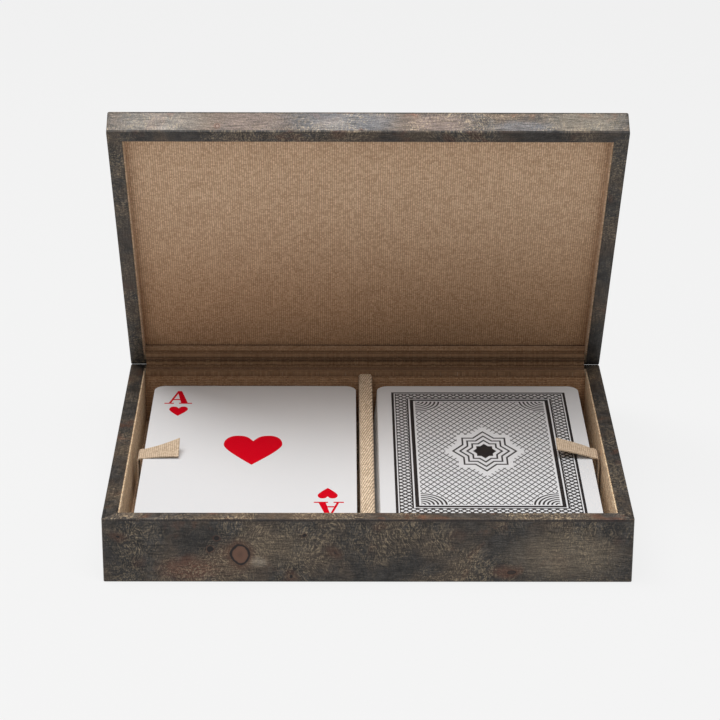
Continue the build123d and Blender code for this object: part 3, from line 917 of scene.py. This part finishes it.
def trellis(f):
    """The back's print: a lozenge field in a border of diamonds, round a tall plain star."""
    centre = middle("patterned_card") / MM
    place = f.split(f.place())
    ax = f.math("ABSOLUTE", f.add(place[0], -centre.x))
    ay = f.math("ABSOLUTE", f.add(place[1], -centre.y))

    def inside(margin):
        return f.math("MINIMUM", f.math("LESS_THAN", ax, PRINT_WIDE - margin),
                      f.math("LESS_THAN", ay, PRINT_TALL - margin))

    def band(start, end):
        return f.math("SUBTRACT", inside(start), inside(end))

    def lozenges(pitch_x, pitch_y, low, high):
        a = f.math("DIVIDE", f.math("PINGPONG", ax, pitch_x / 2), pitch_x / 2)
        b = f.math("DIVIDE", f.math("PINGPONG", ay, pitch_y / 2), pitch_y / 2)
        return f.step(f.math("ABSOLUTE", f.add(f.add(a, b), -1.0)), low, high, 1.0, 0.0)

    # A star in the middle: a lozenge and an upright rectangle laid over each other.
    lozenge = f.add(f.math("DIVIDE", ax, STAR_POINTS[0]), f.math("DIVIDE", ay, STAR_POINTS[1]))
    upright = f.math("MAXIMUM", f.math("DIVIDE", ax, STAR_BLOCK[0]),
                     f.math("DIVIDE", ay, STAR_BLOCK[1]))
    star = f.math("MINIMUM", lozenge, upright)
    rings = f.step(f.math("ABSOLUTE", f.add(f.math("PINGPONG", star, 0.1), -0.1)),
                   0.028, 0.045, 1.0, 0.0)
    core = f.math("LESS_THAN", star, 0.3)
    outside = f.math("GREATER_THAN", star, 1.14)

    # A fan of rings in each corner of the panel.
    corner = f.join(f.add(ax, PANEL_IN - PRINT_WIDE), f.add(ay, PANEL_IN - PRINT_TALL))
    far = f.vector("LENGTH", corner, (0, 0, 0))
    fans = f.times(f.math("LESS_THAN", far, FAN), inside(PANEL_IN))
    arcs = f.step(f.math("PINGPONG", far, 0.55), 0.22, 0.32, 1.0, 0.0)

    ink = f.add(band(0.0, 0.7), band(1.0, 1.2))
    ink = f.add(ink, f.times(band(1.2, 4.3), lozenges(2.0, 2.0, 0.26, 0.42)))
    ink = f.add(ink, f.add(band(4.3, 4.7), band(5.1, 6.1)))
    field = f.times(f.times(inside(PANEL_IN), outside), f.math("SUBTRACT", 1.0, fans))
    ink = f.add(ink, f.times(field, lozenges(1.9, 2.8, 0.12, 0.28)))
    ink = f.add(ink, f.times(fans, arcs))
    ink = f.add(ink, f.times(f.math("LESS_THAN", star, 1.04), f.math("MAXIMUM", rings, core)))
    return f.math("MINIMUM", ink, 1.0)


# ---- Brass -----------------------------------------------------------------------------------
def dress_hinges():
    """Brushed brass for the leaves and pins, and a duller one for the screws."""
    brasses = {"hinge_brass": brass("brushed_brass", (0.62, 0.47, 0.25), (0.30, 0.20, 0.10)),
               "screw_brass": brass("turned_brass", (0.55, 0.42, 0.22), (0.26, 0.18, 0.09))}
    for node, slot in SLOT_OF.items():
        if slot in brasses:
            dress(node, brasses[slot])


# ---- Studio ----------------------------------------------------------------------------------
LENS, FILM = 131.57, 36  # millimetres
CAMERA_AT = (-0.00644, -0.64740, 0.30944)
LOOK_DOWN, LOOK_RIGHT, LEAN = radians(22.571), radians(0.405), radians(0.237)
AMBIENT = 0.19
WHITE = (1, 1, 1, 1)
FLOOR_HALF = 6  # metres
FLOOR_GLOW = 0.815  # what the camera sees of the floor without any lamp
SHADOW_DEPTH = 0.07  # how strongly the lamps, and so the box's shadow, show on it


def photo_camera():
    """The camera that was fitted to the box's own edges."""
    camera = bpy.data.objects.new("camera", bpy.data.cameras.new("camera"))
    bpy.context.scene.collection.objects.link(camera)
    bpy.context.scene.camera = camera
    camera.data.lens = LENS
    camera.data.sensor_width = FILM
    camera.data.clip_start = 0.01
    camera.matrix_world = (Matrix.Translation(CAMERA_AT) @ Matrix.Rotation(-LOOK_RIGHT, 4, "Z")
                           @ Matrix.Rotation(pi / 2 - LOOK_DOWN, 4, "X")
                           @ Matrix.Rotation(LEAN, 4, "Z"))


def soft_light(name, at, wide, tall, power):
    """A flat lamp that faces the middle of the box's underside."""
    lamp = bpy.data.lights.new(name, "AREA")
    lamp.shape = "RECTANGLE"
    lamp.size, lamp.size_y = wide, tall
    lamp.energy = power
    holder = bpy.data.objects.new(name, lamp)
    bpy.context.scene.collection.objects.link(holder)
    holder.location = at
    holder.rotation_euler = (-Vector(at)).to_track_quat("-Z", "Y").to_euler()


def studio_air():
    """Even light from all sides, faint enough to leave the lamps' shadows."""
    world = bpy.data.worlds.new("studio")
    bpy.context.scene.world = world
    world.use_nodes = True
    background = world.node_tree.nodes["Background"]
    background.inputs["Color"].default_value = WHITE
    background.inputs["Strength"].default_value = AMBIENT


def studio_floor():
    """A pale floor: the camera sees it almost evenly lit, with a faint shadow of the box."""
    bm = bmesh.new()
    bmesh.ops.create_grid(bm, x_segments=1, y_segments=1, size=FLOOR_HALF)
    mesh = bpy.data.meshes.new("floor")
    bm.to_mesh(mesh)
    bm.free()
    floor = bpy.data.objects.new("floor", mesh)
    bpy.context.scene.collection.objects.link(floor)
    f = Finish("pale_floor")
    f.set(colour=(0.8, 0.8, 0.8), rough=0.9, gloss=0.2)
    mesh.materials.append(f.material)
    glow = f.node("Emission")
    glow.inputs["Color"].default_value = WHITE
    glow.inputs["Strength"].default_value = FLOOR_GLOW
    dim = f.node("BsdfDiffuse")
    dim.inputs["Color"].default_value = (SHADOW_DEPTH, SHADOW_DEPTH, SHADOW_DEPTH, 1)
    seen = f.node("AddShader")
    f.tree.links.new(glow.outputs[0], seen.inputs[0])
    f.tree.links.new(dim.outputs[0], seen.inputs[1])
    rays = f.node("LightPath").outputs
    shown = f.math("MAXIMUM", rays["Is Glossy Ray"], rays["Is Transmission Ray"])
    shown = f.math("MAXIMUM", rays["Is Camera Ray"], shown)
    choice = f.node("MixShader")
    f.tree.links.new(shown, choice.inputs[0])
    f.tree.links.new(f.shader.outputs[0], choice.inputs[1])
    f.tree.links.new(seen.outputs[0], choice.inputs[2])
    f.tree.links.new(choice.outputs[0], f.tree.nodes["Material Output"].inputs["Surface"])


# ---- The box and its studio ------------------------------------------------------------------
dress_wood()
cover_case()
cover_lid()
hinge_cloth()
hinge_chink_shades()
tape = tape_weave((0.60, 0.465, 0.33), (0.30, 0.21, 0.135))
ribbon("left", "ace_card", -1, rise=1.9, front_back=1.35, shape=1.1, curl=1.6, material=tape)
ribbon("right", "patterned_card", 1, rise=2.8, front_back=0.35, shape=0.8, curl=1.0,
       material=tape)
dress_decks()
dress_hinges()

bpy.context.scene.view_settings.view_transform = "Standard"
photo_camera()
soft_light("overhead", at=(-0.12, -0.18, 1.05), wide=1.5, tall=0.55, power=15.0)
soft_light("front_fill", at=(-0.22, -0.62, 0.56), wide=0.5, tall=0.3, power=1.2)
studio_air()
studio_floor()
